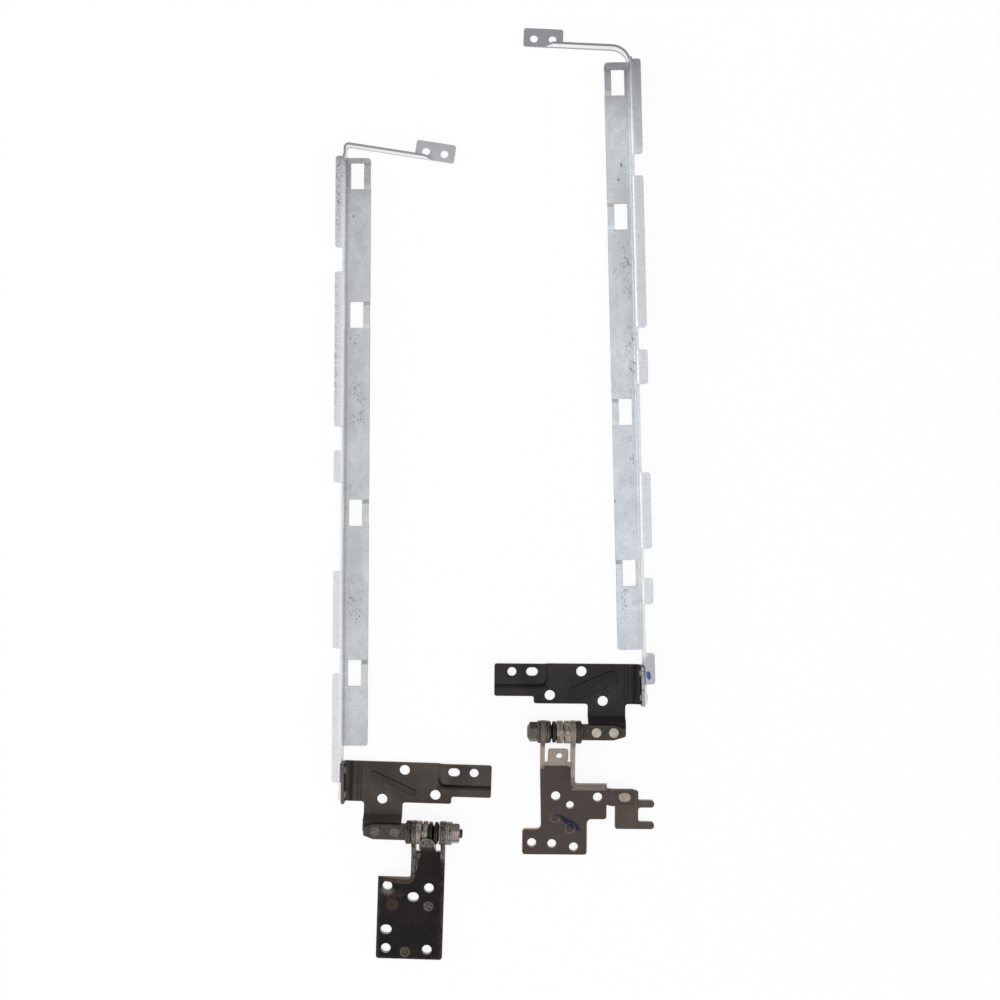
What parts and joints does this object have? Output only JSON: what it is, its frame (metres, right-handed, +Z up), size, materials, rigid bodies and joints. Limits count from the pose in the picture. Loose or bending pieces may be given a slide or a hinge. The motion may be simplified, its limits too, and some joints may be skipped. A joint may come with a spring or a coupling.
{
  "type": "laptop hinge pair",
  "caption": "Left and right display hinges with folded side rails, riveted lid brackets, friction stacks on keyed shafts and screw-down base brackets.",
  "frame": {"origin": "bottom centre of the pair's box, on the surface that it lies on", "axes": "+Y along the rails, away from the base brackets; +X to the right hinge; +Z up, off the sheets"},
  "size_m": [0.1118, 0.325, 0.0096],
  "materials": {
    "rail_steel": "galvanised, fine speckle, satin",
    "lid_bracket_black": "black coating, satin",
    "base_bracket_black": "black coating, semi-gloss, worn edges",
    "shaft_steel": "dark blackened steel",
    "cam_steel": "bare sintered steel with grease",
    "spring_steel": "black spring steel, oiled",
    "washer_steel": "bare steel, streaked",
    "nut_steel": "nickel plated",
    "rivet_steel": "bare steel, ground flush",
    "fork_steel": "black coating, satin"
  },
  "bodies": {
    "lid_sides": {"left_rail": "rail_steel", "left_lid_bracket": "lid_bracket_black", "left_shaft": "shaft_steel", "left_rail_rivet_upper": "rivet_steel", "left_rail_rivet_lower": "rivet_steel", "left_shaft_rivet_inner": "rivet_steel", "left_shaft_rivet_outer": "rivet_steel", "left_moving_cam": "cam_steel", "left_disc_spring_1": "spring_steel", "left_disc_spring_2": "spring_steel", "left_disc_spring_3": "spring_steel", "left_disc_spring_4": "spring_steel", "left_backing_washer": "washer_steel", "left_friction_washer": "washer_steel", "left_stop_washer": "washer_steel", "left_lock_washer": "washer_steel", "left_nut": "nut_steel", "right_rail": "rail_steel", "right_lid_bracket": "lid_bracket_black", "right_shaft": "shaft_steel", "right_rail_rivet_upper": "rivet_steel", "right_rail_rivet_lower": "rivet_steel", "right_shaft_rivet_inner": "rivet_steel", "right_shaft_rivet_outer": "rivet_steel", "right_moving_cam": "cam_steel", "right_disc_spring_1": "spring_steel", "right_disc_spring_2": "spring_steel", "right_disc_spring_3": "spring_steel", "right_backing_washer": "washer_steel", "right_seat_washer": "washer_steel", "right_friction_washer": "washer_steel", "right_lock_washer": "washer_steel", "right_nut": "nut_steel"},
    "left_base": {"left_fixed_cam": "cam_steel", "left_base_bracket": "base_bracket_black"},
    "right_base": {"right_fixed_cam": "cam_steel", "right_base_bracket": "base_bracket_black", "right_fork_plate": "fork_steel", "right_fork_rivet": "rivet_steel"}
  },
  "joints": [
    {"name": "left_hinge_turn", "type": "hinge", "parent": "lid_sides", "child": "left_base", "pos_m": [-0.03044, -0.11695, 0.0042], "axis": [-0.9995, 0.0314, 0], "range_deg": [0, 180]},
    {"name": "right_hinge_turn", "type": "hinge", "parent": "lid_sides", "child": "right_base", "pos_m": [0.03019, -0.08247, 0.0042], "axis": [-1, 0.0087, 0], "range_deg": [0, 180]}
  ]
}
